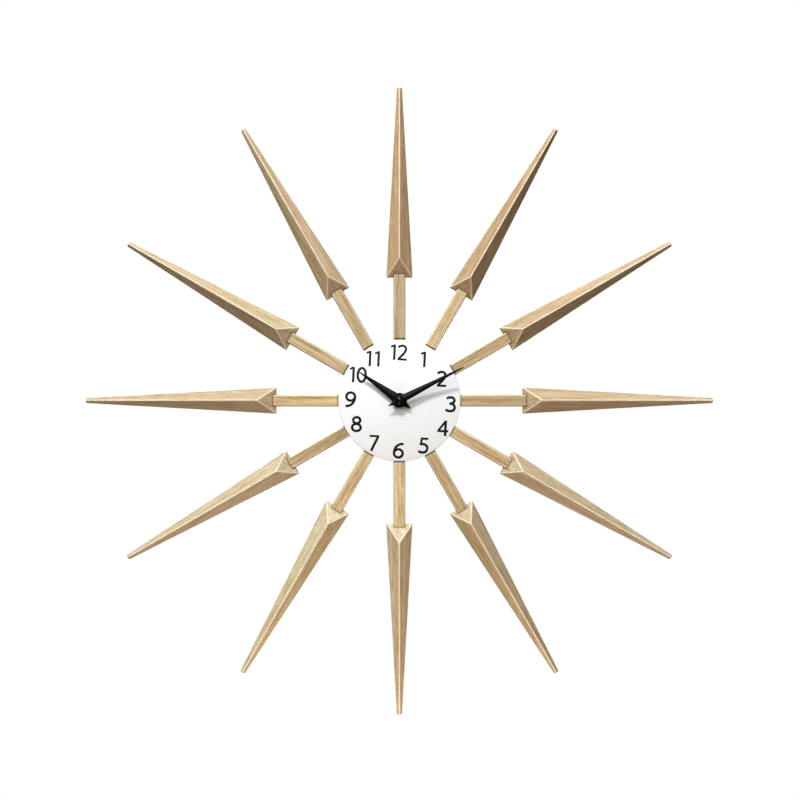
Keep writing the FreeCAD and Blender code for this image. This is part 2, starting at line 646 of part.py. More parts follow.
def spoke_bar():
    """One bar: a thin tenon under the dial, then the visible bar into the head."""
    bar = bar_prism(BAR_SHOULDER_RADIUS, BAR_OUTER_RADIUS, 0.0, BAR_DEPTH)
    bar = bar.makeFillet(BAR_EDGE_RADIUS, top_edges(bar, PANEL_FRONT + BAR_DEPTH))
    tenon = bar_prism(TENON_INNER_RADIUS, BAR_SHOULDER_RADIUS, 0.0, TENON_DEPTH)
    bar = fuse(bar, tenon)
    for radius in SCREW_RADII:
        bar = bar.cut(Part.makeCylinder(SCREW_SHANK_R, SCREW_TIP - PANEL_FRONT,
                                        Vector(radius, 0, PANEL_FRONT)))
    return bar


def ridge_height(radius):
    return RIDGE_START_HEIGHT - RIDGE_FALL * (radius - RIDGE_START_RADIUS)


def head_half_width(radius):
    return HEAD_BASE_WIDTH / 2 - HEAD_TAPER * (radius - HEAD_BASE_RADIUS)


def convex_solid(loops, inside):
    """A solid from flat faces given as corner loops, turned to face away from a point."""
    faces = []
    for loop in loops:
        normal = (loop[1] - loop[0]).cross(loop[2] - loop[1])
        if normal.dot(loop[0] - inside) < 0:
            loop = loop[::-1]
        faces.append(Part.Face(Part.makePolygon(loop + loop[:1])))
    return Part.Solid(Part.Shell(faces))


def faceted_head():
    """Sharp-edged head: flat back, leaning side walls, two roof slopes and an end slope."""
    base_x = HEAD_BASE_RADIUS + HEAD_DRAFT * HEAD_PLINTH
    base_y = head_half_width(base_x) - HEAD_DRAFT * HEAD_PLINTH
    slope = (ridge_height(base_x) - HEAD_PLINTH) / base_y
    side_rise = ridge_height(TIP_RADIUS) - slope * HEAD_TIP_WIDTH / 2
    tip_plinth = side_rise / (1 - HEAD_DRAFT * (slope + RIDGE_FALL - slope * HEAD_TAPER))
    tip_x = TIP_RADIUS - HEAD_DRAFT * tip_plinth
    tip_y = head_half_width(tip_x) - HEAD_DRAFT * tip_plinth
    tip_ridge = ridge_height(TIP_RADIUS) / (1 - HEAD_DRAFT * RIDGE_FALL)

    def pair(x, y, height):
        return [Vector(x, side * y, PANEL_FRONT + height) for side in (1, -1)]

    base_low = pair(HEAD_BASE_RADIUS, HEAD_BASE_WIDTH / 2, 0)
    tip_low = pair(TIP_RADIUS, HEAD_TIP_WIDTH / 2, 0)
    base_high = pair(base_x, base_y, HEAD_PLINTH)
    tip_high = pair(tip_x, tip_y, tip_plinth)
    ridge_start = Vector(RIDGE_START_RADIUS, 0, PANEL_FRONT + RIDGE_START_HEIGHT)
    ridge_end = Vector(TIP_RADIUS - HEAD_DRAFT * tip_ridge, 0, PANEL_FRONT + tip_ridge)
    back = base_low + tip_low[::-1]
    base_wall = [base_low[0], base_high[0], base_high[1], base_low[1]]
    end_slope = [base_high[0], ridge_start, base_high[1]]
    tip_wall = [tip_low[0], tip_low[1], tip_high[1], ridge_end, tip_high[0]]
    loops = [back, base_wall, end_slope, tip_wall]
    for side in (0, 1):
        loops.append([base_low[side], tip_low[side], tip_high[side], base_high[side]])
        loops.append([base_high[side], tip_high[side], ridge_end, ridge_start])
    inside = Vector(RIDGE_START_RADIUS, 0, PANEL_FRONT + HEAD_PLINTH)
    return convex_solid(loops, inside)


def ray_head():
    """One head with its tip and raised edges rounded and its mortise sunk."""
    head = faceted_head()
    tip_corners = [edge for edge in head.Edges
                   if edge.BoundBox.XMin > TIP_RADIUS - 1 and edge.BoundBox.YLength < 1
                   and edge.BoundBox.ZMin < PANEL_FRONT + 0.1 and edge.BoundBox.ZLength > 1]
    head = head.makeFillet(HEAD_TIP_RADIUS, tip_corners)
    raised = [edge for edge in head.Edges
              if edge.BoundBox.ZMin > PANEL_FRONT + 0.5
              or edge.BoundBox.XMax < HEAD_BASE_RADIUS + 1 and edge.BoundBox.ZLength > 1]
    head = head.makeFillet(HEAD_EDGE_RADIUS, raised)
    mortise = bar_prism(HEAD_BASE_RADIUS - 5, BAR_OUTER_RADIUS + MORTISE_CLEARANCE,
                        MORTISE_CLEARANCE, BAR_DEPTH)
    return head.cut(mortise)


def pan_screw(x, y, head_back, head_front, tip):
    """A pan-head screw driven towards +Z, with a cross slot."""
    head = disc(SCREW_HEAD_R, head_back, head_front, (x, y))
    head = head.makeFillet(SCREW_HEAD_EDGE, top_edges(head, head_back))
    shank = disc(SCREW_SHANK_R, head_front, tip, (x, y))
    screw = fuse(head, shank)
    for half_x, half_y in (SCREW_SLOT, SCREW_SLOT[::-1]):
        screw = screw.cut(block(x - half_x, x + half_x, y - half_y, y + half_y,
                                head_back - 1, head_back + SCREW_SLOT_DEPTH))
    return screw


def spoke_screws():
    screws = []
    for hour in range(1, HOURS + 1):
        for radius in SCREW_RADII:
            screw = pan_screw(radius, 0, PANEL_BACK - SCREW_HEAD_HEIGHT, PANEL_BACK, SCREW_TIP)
            screws.append(at_hour(screw, hour))
    return Part.makeCompound(screws)


def hanger_screws():
    back = HANGER_FRONT - HANGER_THICKNESS
    return Part.makeCompound([pan_screw(x, y, back - 0.7, back, HANGER_SCREW_TIP)
                              for x, y in HANGER_SCREWS_AT])


def hanger_plate():
    """Steel plate with a keyhole for a nail or screw in the wall."""
    back = HANGER_FRONT - HANGER_THICKNESS
    plate = rounded_plate(-HANGER_HALF_WIDTH, HANGER_HALF_WIDTH, HANGER_BOTTOM, HANGER_TOP,
                          back, HANGER_FRONT, HANGER_CORNER_R)
    keyhole = fuse(disc(KEYHOLE_R, 0, 4, (0, KEYHOLE_Y)),
                   block(-KEYHOLE_SLOT_R, KEYHOLE_SLOT_R, KEYHOLE_Y, KEYHOLE_SLOT_TOP, 0, 4),
                   disc(KEYHOLE_SLOT_R, 0, 4, (0, KEYHOLE_SLOT_TOP)))
    plate = plate.cut(keyhole)
    for at in HANGER_SCREWS_AT:
        plate = plate.cut(disc(SCREW_SHANK_R, 0, 4, at))
    return plate


def dome_arc(lift):
    """Arc of the dial's dome from its flat middle to its rim, lifted by some height."""
    rise = DIAL_DOME
    run = DIAL_RADIUS - DIAL_FLAT_RADIUS
    radius = (run * run + rise * rise) / (2 * rise)
    mid_x = run / 2
    mid_drop = radius - math.sqrt(radius * radius - mid_x * mid_x)
    top = DIAL_RIM_BACK + DIAL_DOME + lift
    return Part.Arc(Vector(DIAL_FLAT_RADIUS, 0, top),
                    Vector(DIAL_FLAT_RADIUS + mid_x, 0, top - mid_drop),
                    Vector(DIAL_RADIUS, 0, top - rise))


def dial():
    """Domed sheet disc with a central hole."""
    back = dome_arc(0.0)
    front = dome_arc(DIAL_SHEET)
    top_back = DIAL_RIM_BACK + DIAL_DOME
    corners = [Vector(DIAL_HOLE_R, 0, top_back), Vector(DIAL_FLAT_RADIUS, 0, top_back),
               Vector(DIAL_FLAT_RADIUS, 0, DIAL_FRONT), Vector(DIAL_HOLE_R, 0, DIAL_FRONT)]
    edges = [Part.LineSegment(corners[0], corners[1]).toShape(), back.toShape(),
             Part.LineSegment(Vector(DIAL_RADIUS, 0, DIAL_RIM_BACK),
                              Vector(DIAL_RADIUS, 0, DIAL_RIM_FRONT)).toShape(),
             front.toShape(), Part.LineSegment(corners[2], corners[3]).toShape(),
             Part.LineSegment(corners[3], corners[0]).toShape()]
    wire = Part.Wire(Part.__sortEdges__(edges))
    sheet = Part.Face(wire).revolve(Vector(0, 0, 0), Vector(0, 0, 1), 360)
    rim = [edge for edge in top_edges(sheet, DIAL_RIM_FRONT)
           if abs(edge.BoundBox.XMax - DIAL_RADIUS) < 1e-3 and edge.BoundBox.ZLength < 1e-3]
    return sheet.makeFillet(DIAL_EDGE_RADIUS, rim)


# ---------------------------------------------------------------- nut, washers and hands
RUBBER_WASHER_R = 9.0
BRASS_WASHER_R = 7.4
BRASS_WASHER_FRONT = DIAL_FRONT + 0.5
NUT_CORNER_R = 6.3
NUT_HEIGHT = 1.6


def rubber_washer():
    return ring(RUBBER_WASHER_R, BUSHING_R + FIT, CASE_FRONT, PANEL_BACK)


def brass_washer():
    return ring(BRASS_WASHER_R, BUSHING_R + FIT, DIAL_FRONT, BRASS_WASHER_FRONT)


def shaft_nut():
    """Hexagon nut that clamps the dial and the housing on the movement."""
    corners = [Vector(*polar(NUT_CORNER_R, math.radians(turn)), BRASS_WASHER_FRONT)
               for turn in range(0, 360, 60)]
    nut = extrude(corners, Vector(0, 0, NUT_HEIGHT))
    return nut.cut(disc(BUSHING_R, 0, BUSHING_TOP + 1))


def kite_hand(length, width, end, tail, back, hub, tube_r):
    """A kite-shaped hand that rises to its middle, built along +X."""
    edge_top = back + HAND_EDGE
    crease = back + HAND_CREASE
    low = [Vector(length, end / 2, back), Vector(0, width / 2, back), Vector(-tail, 0, back),
           Vector(0, -width / 2, back), Vector(length, -end / 2, back)]
    high = [Vector(point.x, point.y, edge_top) for point in low]
    middle = Vector(0, 0, crease)
    faces = [Part.Face(Part.makePolygon(low + low[:1]))]
    for index in range(len(low)):
        following = (index + 1) % len(low)
        wall = [low[index], low[following], high[following], high[index], low[index]]
        slope = [high[index], high[following], middle, high[index]]
        faces.append(Part.Face(Part.makePolygon(wall)))
        faces.append(Part.Face(Part.makePolygon(slope)))
    blade = Part.Solid(Part.Shell(faces))
    if blade.Volume < 0:
        blade.reverse()
    return fuse(blade, hub).cut(disc(tube_r, 0, CAP_NUT_TOP + 1))


def hour_hand():
    """Hour hand on a dished hub with a raised rim."""
    hub = disc(HOUR_HUB_R, HOUR_HUB_BACK, HOUR_HUB_TOP)
    hub = hub.makeFillet(HAND_HUB_EDGE, top_edges(hub, HOUR_HUB_TOP))
    hub = hub.cut(Part.makeCone(HOUR_DISH_FLOOR_R, HOUR_DISH_R, HOUR_DISH_DEPTH,
                                Vector(0, 0, HOUR_HUB_TOP - HOUR_DISH_DEPTH)))
    hand = kite_hand(HOUR_HAND_LENGTH, HOUR_HAND_WIDTH, HOUR_HAND_END, HOUR_HAND_TAIL,
                     HOUR_HAND_BACK, hub, HOUR_TUBE_R)
    return at_hour(hand, HOUR_HAND_ANGLE * HOURS / 360)


def minute_hand():
    hub = disc(MINUTE_HUB_R, MINUTE_HUB_BACK, MINUTE_HUB_TOP)
    hub = hub.makeFillet(HAND_HUB_EDGE, top_edges(hub, MINUTE_HUB_TOP))
    hand = kite_hand(MINUTE_HAND_LENGTH, MINUTE_HAND_WIDTH, MINUTE_HAND_END, MINUTE_HAND_TAIL,
                     MINUTE_HAND_BACK, hub, MINUTE_TUBE_R)
    return at_hour(hand, MINUTE_HAND_ANGLE * HOURS / 360)


def cap_nut():
    """Domed nut that closes the end of the minute tube."""
    rise = CAP_NUT_TOP - CAP_NUT_RIM
    radius = (CAP_NUT_R * CAP_NUT_R + rise * rise) / (2 * rise)
    ball = Part.makeSphere(radius, Vector(0, 0, CAP_NUT_TOP - radius))
    nut = disc(CAP_NUT_R, MINUTE_HUB_TOP, CAP_NUT_TOP).common(ball)
    return nut.cut(disc(MINUTE_TUBE_R, 0, MINUTE_TUBE_TOP + 0.1))


# ---------------------------------------------------------------- write every piece
SINGLE_PIECES = (hub_housing, dial, spoke_screws, hanger_plate, hanger_screws,
                 movement_case, movement_cover, gear_bridge, circuit_board, quartz_crystal,
                 control_chip, coil_bobbin, coil_winding, coil_core, stator, rotor,
                 intermediate_wheel, seconds_wheel, third_wheel, centre_wheel, clutch_washer,
                 minute_arbor, cannon_pinion, motion_wheel, hour_wheel, set_knob, battery,
                 contact_positive, contact_negative, shaft_nut, brass_washer, rubber_washer,
                 hour_hand, minute_hand, cap_nut)


def main():
    os.makedirs("parts", exist_ok=True)
    for make in SINGLE_PIECES:
        save(make.__name__, make())
    bar = spoke_bar()
    head = ray_head()
    for hour in range(1, HOURS + 1):
        save(f"spoke_bar_{hour:02d}", at_hour(bar, hour))
        save(f"ray_head_{hour:02d}", at_hour(head, hour))


main()
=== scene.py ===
"""Looks of the sunburst wall clock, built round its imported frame.

Metres, in the frame of the CAD: +Z towards 12 o'clock, +X towards 3 o'clock, the dial faces -Y
and the wall is the plane y = 0.
"""

import bpy
import math
import numpy as np
from mathutils import Matrix, Vector


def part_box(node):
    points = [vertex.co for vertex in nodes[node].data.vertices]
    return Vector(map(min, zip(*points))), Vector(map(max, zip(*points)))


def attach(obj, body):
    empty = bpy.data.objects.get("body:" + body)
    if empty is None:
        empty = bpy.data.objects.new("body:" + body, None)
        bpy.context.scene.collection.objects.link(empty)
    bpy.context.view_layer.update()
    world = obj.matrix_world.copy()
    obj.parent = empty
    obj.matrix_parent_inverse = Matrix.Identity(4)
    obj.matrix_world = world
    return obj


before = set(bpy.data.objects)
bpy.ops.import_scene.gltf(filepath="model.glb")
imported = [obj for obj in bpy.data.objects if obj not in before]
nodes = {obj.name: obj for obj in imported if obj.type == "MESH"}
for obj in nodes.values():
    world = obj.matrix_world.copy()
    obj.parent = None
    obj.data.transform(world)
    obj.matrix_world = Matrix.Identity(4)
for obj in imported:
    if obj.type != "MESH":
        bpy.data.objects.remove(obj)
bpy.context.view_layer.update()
MM = 0.001
HOURS = range(1, 13)


# ---------------------------------------------------------------- shader graphs
class Shader:
    """One node material, with short calls for the nodes used below."""

    def __init__(self, name):
        self.material = bpy.data.materials.new(name)
        self.material.use_nodes = True
        self.tree = self.material.node_tree
        self.surface = self.tree.nodes["Principled BSDF"]

    def node(self, kind, **settings):
        made = self.tree.nodes.new(kind)
        for key, value in settings.items():
            setattr(made, key, value)
        return made

    def feed(self, socket, value):
        if isinstance(value, bpy.types.NodeSocket):
            self.tree.links.new(value, socket)
        else:
            socket.default_value = value

    def math(self, operation, *values):
        made = self.node("ShaderNodeMath", operation=operation)
        for socket, value in zip(made.inputs, values):
            self.feed(socket, value)
        return made.outputs[0]

    def vector(self, operation, *values):
        """A dot product or a length, which are single numbers."""
        made = self.node("ShaderNodeVectorMath", operation=operation)
        for socket, value in zip(made.inputs, values):
            self.feed(socket, value)
        return made.outputs["Value"]

    def millimetres(self):
        """Place in the object's own frame, in millimetres."""
        coordinates = self.node("ShaderNodeTexCoord")
        made = self.node("ShaderNodeVectorMath", operation="SCALE")
        self.feed(made.inputs[0], coordinates.outputs["Object"])
        made.inputs["Scale"].default_value = 1 / MM
        return made.outputs["Vector"]

    def place(self, vector, scale=(1, 1, 1), offset=(0, 0, 0), turn=(0, 0, 0)):
        made = self.node("ShaderNodeMapping")
        self.feed(made.inputs["Vector"], vector)
        made.inputs["Scale"].default_value = scale
        made.inputs["Location"].default_value = offset
        made.inputs["Rotation"].default_value = turn
        return made.outputs["Vector"]

    def split(self, vector):
        made = self.node("ShaderNodeSeparateXYZ")
        self.feed(made.inputs[0], vector)
        return made.outputs[0], made.outputs[1], made.outputs[2]

    def noise(self, vector, scale=1.0, detail=3.0, roughness=0.55, distortion=0.0):
        made = self.node("ShaderNodeTexNoise")
        self.feed(made.inputs["Vector"], vector)
        made.inputs["Scale"].default_value = scale
        made.inputs["Detail"].default_value = detail
        made.inputs["Roughness"].default_value = roughness
        made.inputs["Distortion"].default_value = distortion
        return made.outputs["Fac"]

    def spread(self, value, low, high, to_low=0.0, to_high=1.0, smooth=False):
        """A value stretched from one range to another and held inside it."""
        made = self.node("ShaderNodeMapRange", clamp=True)
        if smooth:
            made.interpolation_type = "SMOOTHSTEP"
        for socket, number in zip(made.inputs, (value, low, high, to_low, to_high)):
            self.feed(socket, number)
        return made.outputs["Result"]

    def ramp(self, value, stops):
        made = self.node("ShaderNodeValToRGB")
        self.feed(made.inputs["Fac"], value)
        elements = made.color_ramp.elements
        while len(elements) < len(stops):
            elements.new(0.5)
        for element, (position, colour) in zip(elements, stops):
            element.position = position
            element.color = (*colour, 1.0)
        return made.outputs["Color"]

    def mix(self, factor, first, second):
        made = self.node("ShaderNodeMix", data_type="RGBA")
        self.feed(made.inputs["Factor"], factor)
        for name, value in (("A", first), ("B", second)):
            socket = [s for s in made.inputs if s.name == name and s.type == "RGBA"][0]
            self.feed(socket, value if isinstance(value, bpy.types.NodeSocket) else (*value, 1.0))
        return [s for s in made.outputs if s.type == "RGBA"][0]

    def bump(self, height, distance, strength):
        made = self.node("ShaderNodeBump")
        self.feed(made.inputs["Height"], height)
        made.inputs["Distance"].default_value = distance
        made.inputs["Strength"].default_value = strength
        return made.outputs["Normal"]

    def finish(self, colour, roughness, normal, **constants):
        self.feed(self.surface.inputs["Base Color"],
                  colour if isinstance(colour, bpy.types.NodeSocket) else (*colour, 1.0))
        self.feed(self.surface.inputs["Roughness"], roughness)
        self.feed(self.surface.inputs["Normal"], normal)
        for name, value in constants.items():
            self.surface.inputs[name.replace("_", " ")].default_value = value
        return self.material


# ---------------------------------------------------------------- wood
# Millimetres. A ray runs outwards from the hand axis; heights are out from the panel's front,
# which the heads and bars lie on. Corners are along the ray, across it and high.
PANEL_FRONT = 20.0            # from the wall
HEAD_BASE = Vector((119.9, 12.45, 3.0))       # a corner where the upright sides meet the slopes
HEAD_PEAK = Vector((138.4, 0.0, 15.0))
HEAD_TIP = Vector((303.5, 0.0, 3.75))
# The paling of the ridges and hips is partly wear and partly a painted highlight.
RIDGE_WEAR_AND_HIGHLIGHT = (1.70, 0.30, 0.0, 0.80)     # depths where the wood starts to pale and where it has
HIP_WEAR_AND_HIGHLIGHT = (1.05, 0.25, 0.0, 0.75)       # paled, then how much at each
BAR_EDGE = 5.2                # half width of a bar's flat front
BAR_SIDE = 5.8                # and of its back
BAR_DEPTH = 5.2
BAR_START = 60.2              # radius of a bar's inner shoulder, just outside the dial
TENON_DEPTH = 3.0             # the thinner part of a bar under the dial
MORTISE_SHADE_LINE = (0.65, 0.25)     # how far off a bar the painted shade round it fades out, and where it is full
# How light each piece of wood is, from 1 to 12 o'clock.
HEAD_TONES = (0.75, 0.78, 0.79, 0.85, 0.82, 0.96, 1.06, 0.93, 0.82, 0.86, 0.90, 0.91)
BAR_TONES = (1.04, 0.83, 0.78, 0.97, 0.86, 1.08, 1.02, 0.79, 1.08, 0.96, 0.86, 0.80)
# How warm the wood of each head is: below zero it is cooler than the rest.
HEAD_WARMTH = (0.12, 0.04, 0.03, -0.10, -0.02, -0.05, -0.18, -0.15, -0.01, -0.08, 0.05, 0.18)
BAR_TINT = (1.0, 1.0, 0.90)
HEAD_CONTRAST = 1.6           # how strongly the grain shows
BAR_CONTRAST = 2.1
GRAIN_COLOURS = ((0.30, (0.310, 0.190, 0.080)), (0.42, (0.450, 0.312, 0.158)),
                 (0.52, (0.560, 0.418, 0.240)), (0.66, (0.680, 0.545, 0.350)))
WARM_CLOUD = (0.60, 0.39, 0.22)
PORE = (0.20, 0.12, 0.05)
# Colour the pale edges blend to: partly worn wood, partly a painted highlight.
WORN_AND_HIGHLIT_WOOD = (0.90, 0.80, 0.60)
# Painted shade in the gaps round each bar, at its inner shoulder and where it enters a head.
JOINT_SHADOW = (0.030, 0.017, 0.008)


def mirrored(corner):
    """The same corner on the other side of the ray."""
    return Vector((corner.x, -corner.y, corner.z))


def face_plane(first, second, third):
    """Outward normal and offset of a face of a head, in ray coordinates."""
    normal = (second - first).cross(third - first).normalized()
    if normal.z < 0:
        normal.negate()
    return normal, normal.dot(first)


HEAD_PLANES = (face_plane(HEAD_BASE, HEAD_PEAK, HEAD_TIP),
               face_plane(mirrored(HEAD_BASE), HEAD_PEAK, HEAD_TIP),
               face_plane(HEAD_BASE, HEAD_PEAK, mirrored(HEAD_BASE)))


def ray_coordinates(shader, hour):
    """Millimetres along a ray, across it and out from the panel."""
    turn = shader.node("ShaderNodeVectorRotate", rotation_type="Y_AXIS")
    shader.feed(turn.inputs["Vector"], shader.millimetres())
    turn.inputs["Angle"].default_value = math.radians(90 - 30 * hour)
    x, y, z = shader.split(turn.outputs["Vector"])
    joined = shader.node("ShaderNodeCombineXYZ")
    shader.feed(joined.inputs[0], x)
    shader.feed(joined.inputs[1], z)
    shader.feed(joined.inputs[2], shader.math("SUBTRACT", -PANEL_FRONT, y))
    return joined.outputs[0]


def wood(name, hour, tone, tint, contrast, marks):
    """Pale straight-grained wood under a satin lacquer, its edges paled by wear and a painted highlight,
    and painted shade in the gaps round the bars.
    """
    shader = Shader(name)

    def toned(colour):
        return tuple(channel * tone * share for channel, share in zip(colour, tint))

    # each noise has its scale along, across and through the wood, per millimetre
    place = ray_coordinates(shader, hour)
    start = (37.0 * hour, 11.0 * hour, 5.0 * hour + 700.0 * contrast)
    bands = shader.noise(shader.place(place, (0.006, 0.30, 0.16), start), 1.0, 3.0, 0.5, 0.6)
    streaks = shader.noise(shader.place(place, (0.045, 0.85, 0.7), start), 1.0, 4.0, 0.66, 0.35)
    fibres = shader.noise(shader.place(place, (0.11, 3.6, 3.0), start), 1.0, 3.0, 0.6)
    cloud = shader.noise(shader.place(place, (0.022, 0.07, 0.05), start), 1.0, 2.0, 0.5)
    pores = shader.noise(shader.place(place, (0.35, 6.5, 6.5), start), 1.0, 2.0, 0.5)

    grain = shader.math("MULTIPLY", streaks, 0.54)
    grain = shader.math("MULTIPLY_ADD", bands, 0.26, grain)
    grain = shader.math("MULTIPLY_ADD", fibres, 0.20, grain)
    grain = shader.math("MULTIPLY_ADD", shader.math("SUBTRACT", grain, 0.5), contrast, 0.5)
    colour = shader.ramp(grain, [(at, toned(shade)) for at, shade in GRAIN_COLOURS])
    warm = shader.spread(cloud, 0.42, 0.66, 0.0, 0.30)
    colour = shader.mix(warm, colour, toned(WARM_CLOUD))
    pore = shader.spread(pores, 0.66, 0.74)
    colour = shader.mix(shader.math("MULTIPLY", pore, 0.40), colour, PORE)
    # The first mask pales the edges with wear and a painted highlight; the second lays painted shade in the
    # gaps.
    edge, painted_shade = marks(shader, place)
    edge_patchiness = shader.spread(shader.noise(shader.place(place, (0.12, 0.8, 0.8), start), 1.0, 3.0),
                           0.30, 0.62, 0.60, 1.0)
    colour = shader.mix(shader.math("MULTIPLY", edge, edge_patchiness), colour, WORN_AND_HIGHLIT_WOOD)
    # Painted shade in the gaps round the bars.
    colour = shader.mix(painted_shade, colour, JOINT_SHADOW)

    roughness = shader.spread(streaks, 0.3, 0.7, 0.58, 0.48)
    roughness = shader.math("MULTIPLY_ADD", pore, 0.15, roughness)
    relief = shader.math("MULTIPLY_ADD", streaks, 0.5, fibres)
    relief = shader.math("MULTIPLY_ADD", pore, -0.8, relief)
    normal = shader.bump(relief, 0.00006, 0.45)
    return shader.finish(colour, roughness, normal, Specular_IOR_Level=0.55)


def head_tint(hour):
    """Shares of red, green and blue in a head's wood: some heads are warmer than others."""
    warmth = HEAD_WARMTH[hour - 1]
    return 1.0, 1.03 - 0.60 * warmth, 1.05 - warmth


def slope_depth(shader, place, plane):
    """How deep a point lies under a face of a head."""
    normal, offset = plane
    return shader.math("SUBTRACT", offset, shader.vector("DOT_PRODUCT", place, tuple(normal)))


def head_marks(shader, place):
    """Ridge and hips of a head paled by wear and a painted highlight, and painted shade round its mortise.
    """
    depths = [slope_depth(shader, place, plane) for plane in HEAD_PLANES]
    low = shader.math("MINIMUM", depths[0], depths[1])
    high = shader.math("MAXIMUM", depths[0], depths[1])
    second = shader.math("MAXIMUM", low, shader.math("MINIMUM", high, depths[2]))
    ridge = shader.spread(high, *RIDGE_WEAR_AND_HIGHLIGHT, smooth=True)
    hips = shader.spread(second, *HIP_WEAR_AND_HIGHLIGHT, smooth=True)
    edge = shader.math("MAXIMUM", ridge, hips)
    along, across, height = shader.split(place)
    # Painted shade round the mortise where a bar enters the head.
    beside = shader.spread(shader.math("ABSOLUTE", across), *(BAR_SIDE + gap for gap in MORTISE_SHADE_LINE))
    above = shader.spread(height, *(BAR_DEPTH + gap for gap in MORTISE_SHADE_LINE))
    near = shader.spread(along, HEAD_PEAK.x - 2.0, HEAD_PEAK.x - 3.0)
    painted_shade = shader.math("MULTIPLY", shader.math("MULTIPLY", beside, above), near)
    return edge, shader.math("MULTIPLY", painted_shade, 0.60)


def bar_marks(shader, place):
    """Front edges of a bar paled by wear and a painted highlight, painted shade on its inner shoulder by
    the dial, and painted shade where it enters a head.
    """
    along, across, height = shader.split(place)
    # Front edges: partly wear, partly a painted highlight.
    side = shader.spread(shader.math("ABSOLUTE", across), BAR_EDGE - 1.4, BAR_EDGE - 0.1,
                         0.0, 0.55, smooth=True)
    edge = shader.math("MULTIPLY", side, shader.spread(height, 3.6, 4.8))
    # Painted shade on the inner shoulder, in the gap by the dial.
    shoulder_shade = shader.math("MULTIPLY", shader.spread(along, BAR_START + 0.25, BAR_START + 0.05),
                      shader.spread(height, TENON_DEPTH + 0.02, TENON_DEPTH + 0.10))
    # Painted shade where the bar enters a head.
    entry = shader.spread(slope_depth(shader, place, HEAD_PLANES[2]), -0.50, -0.25, 0.0, 0.60)
    entry = shader.math("MULTIPLY", entry, shader.spread(height, 1.5, 3.0))
    return edge, shader.math("MAXIMUM", shoulder_shade, entry)


# ---------------------------------------------------------------- plastics, metals, print
def moulded(name, colour, roughness, texture, variation=0.12):
    """Injection-moulded plastic: fine spark texture, faint flow marks and handling shine."""
    shader = Shader(name)
    place = shader.millimetres()
    flow = shader.noise(shader.place(place, (0.05, 0.05, 0.12)), 1.0, 3.0, 0.5, 0.8)
    spark = shader.noise(place, 3.2, 3.0, 0.65)
    worn = shader.noise(place, 0.16, 4.0, 0.6)
    dark = tuple(c * (1 - variation) for c in colour)
    light = tuple(min(1.0, c * (1 + variation) + 0.004) for c in colour)
    tinted = shader.mix(shader.spread(flow, 0.35, 0.65), dark, light)
    shine = shader.spread(worn, 0.35, 0.7, roughness + 0.08, roughness - 0.10)
    normal = shader.bump(spark, 0.00005, texture)
    return shader.finish(tinted, shine, normal)


def metal(name, colour, roughness, along, tint=None):
    """Drawn or plated metal with fine lines, cloudy tarnish and a few scratches."""
    shader = Shader(name)
    place = shader.millimetres()
    lines = shader.noise(shader.place(place, along), 1.0, 4.0, 0.6)
    cloud = shader.noise(place, 0.22, 4.0, 0.6)
    fine = shader.noise(shader.place(place, (0.4, 9.0, 7.0), turn=(0.3, 0.5, 0.9)), 1.0, 2.0)
    other = tint or tuple(c * 0.78 for c in colour)
    tinted = shader.mix(shader.spread(cloud, 0.35, 0.68), colour, other)
    shine = shader.spread(cloud, 0.3, 0.7, roughness - 0.08, roughness + 0.04)
    shine = shader.math("MULTIPLY_ADD", lines, 0.16, shine)
    relief = shader.math("MULTIPLY_ADD", shader.spread(fine, 0.68, 0.74), -0.8, lines)
    normal = shader.bump(relief, 0.00003, 0.35)
    return shader.finish(tinted, shine, normal, Metallic=1.0)


def turned(name, colour, roughness):
    """Turned brass: fine concentric tool marks round the hand axis."""
    shader = Shader(name)
    place = shader.millimetres()
    x, y, z = shader.split(place)
    flat = shader.node("ShaderNodeCombineXYZ")
    shader.feed(flat.inputs[0], x)
    shader.feed(flat.inputs[2], z)
    radius = shader.vector("LENGTH", flat.outputs[0])
    marks_at = shader.node("ShaderNodeCombineXYZ")
    shader.feed(marks_at.inputs[0], radius)
    shader.feed(marks_at.inputs[1], y)
    marks = shader.noise(marks_at.outputs[0], 7.0, 3.0, 0.7)
    cloud = shader.noise(place, 0.3, 4.0, 0.6)
    tinted = shader.mix(shader.spread(cloud, 0.38, 0.66), colour, tuple(c * 0.72 for c in colour))
    shine = shader.math("MULTIPLY_ADD", marks, 0.18, roughness - 0.09)
    return shader.finish(tinted, shine, shader.bump(marks, 0.00003, 0.5), Metallic=1.0)


def dial_white():
    """Glossy white dial with a faint orange-peel surface and the least dust."""
    shader = Shader("dial_enamel")
    place = shader.millimetres()
    peel = shader.noise(place, 0.55, 2.0, 0.5)
    dust = shader.noise(place, 0.08, 4.0, 0.6)
    tinted = shader.mix(shader.spread(dust, 0.35, 0.7), (0.905, 0.932, 0.950), (0.885, 0.912, 0.932))
    shine = shader.spread(dust, 0.3, 0.7, 0.16, 0.24)
    return shader.finish(tinted, shine, shader.bump(peel, 0.00004, 0.25), Coat_Weight=0.3,
                         Coat_Roughness=0.08)


def numeral_ink():
    """Screen-printed black ink, a little uneven."""
    shader = Shader("numeral_print")
    place = shader.millimetres()
    body = shader.noise(place, 1.6, 3.0, 0.6)
    tinted = shader.mix(body, (0.004, 0.004, 0.005), (0.009, 0.009, 0.010))
    shine = shader.spread(body, 0.3, 0.7, 0.46, 0.58)
    return shader.finish(tinted, shine, shader.bump(body, 0.00001, 0.3), Specular_IOR_Level=0.20)


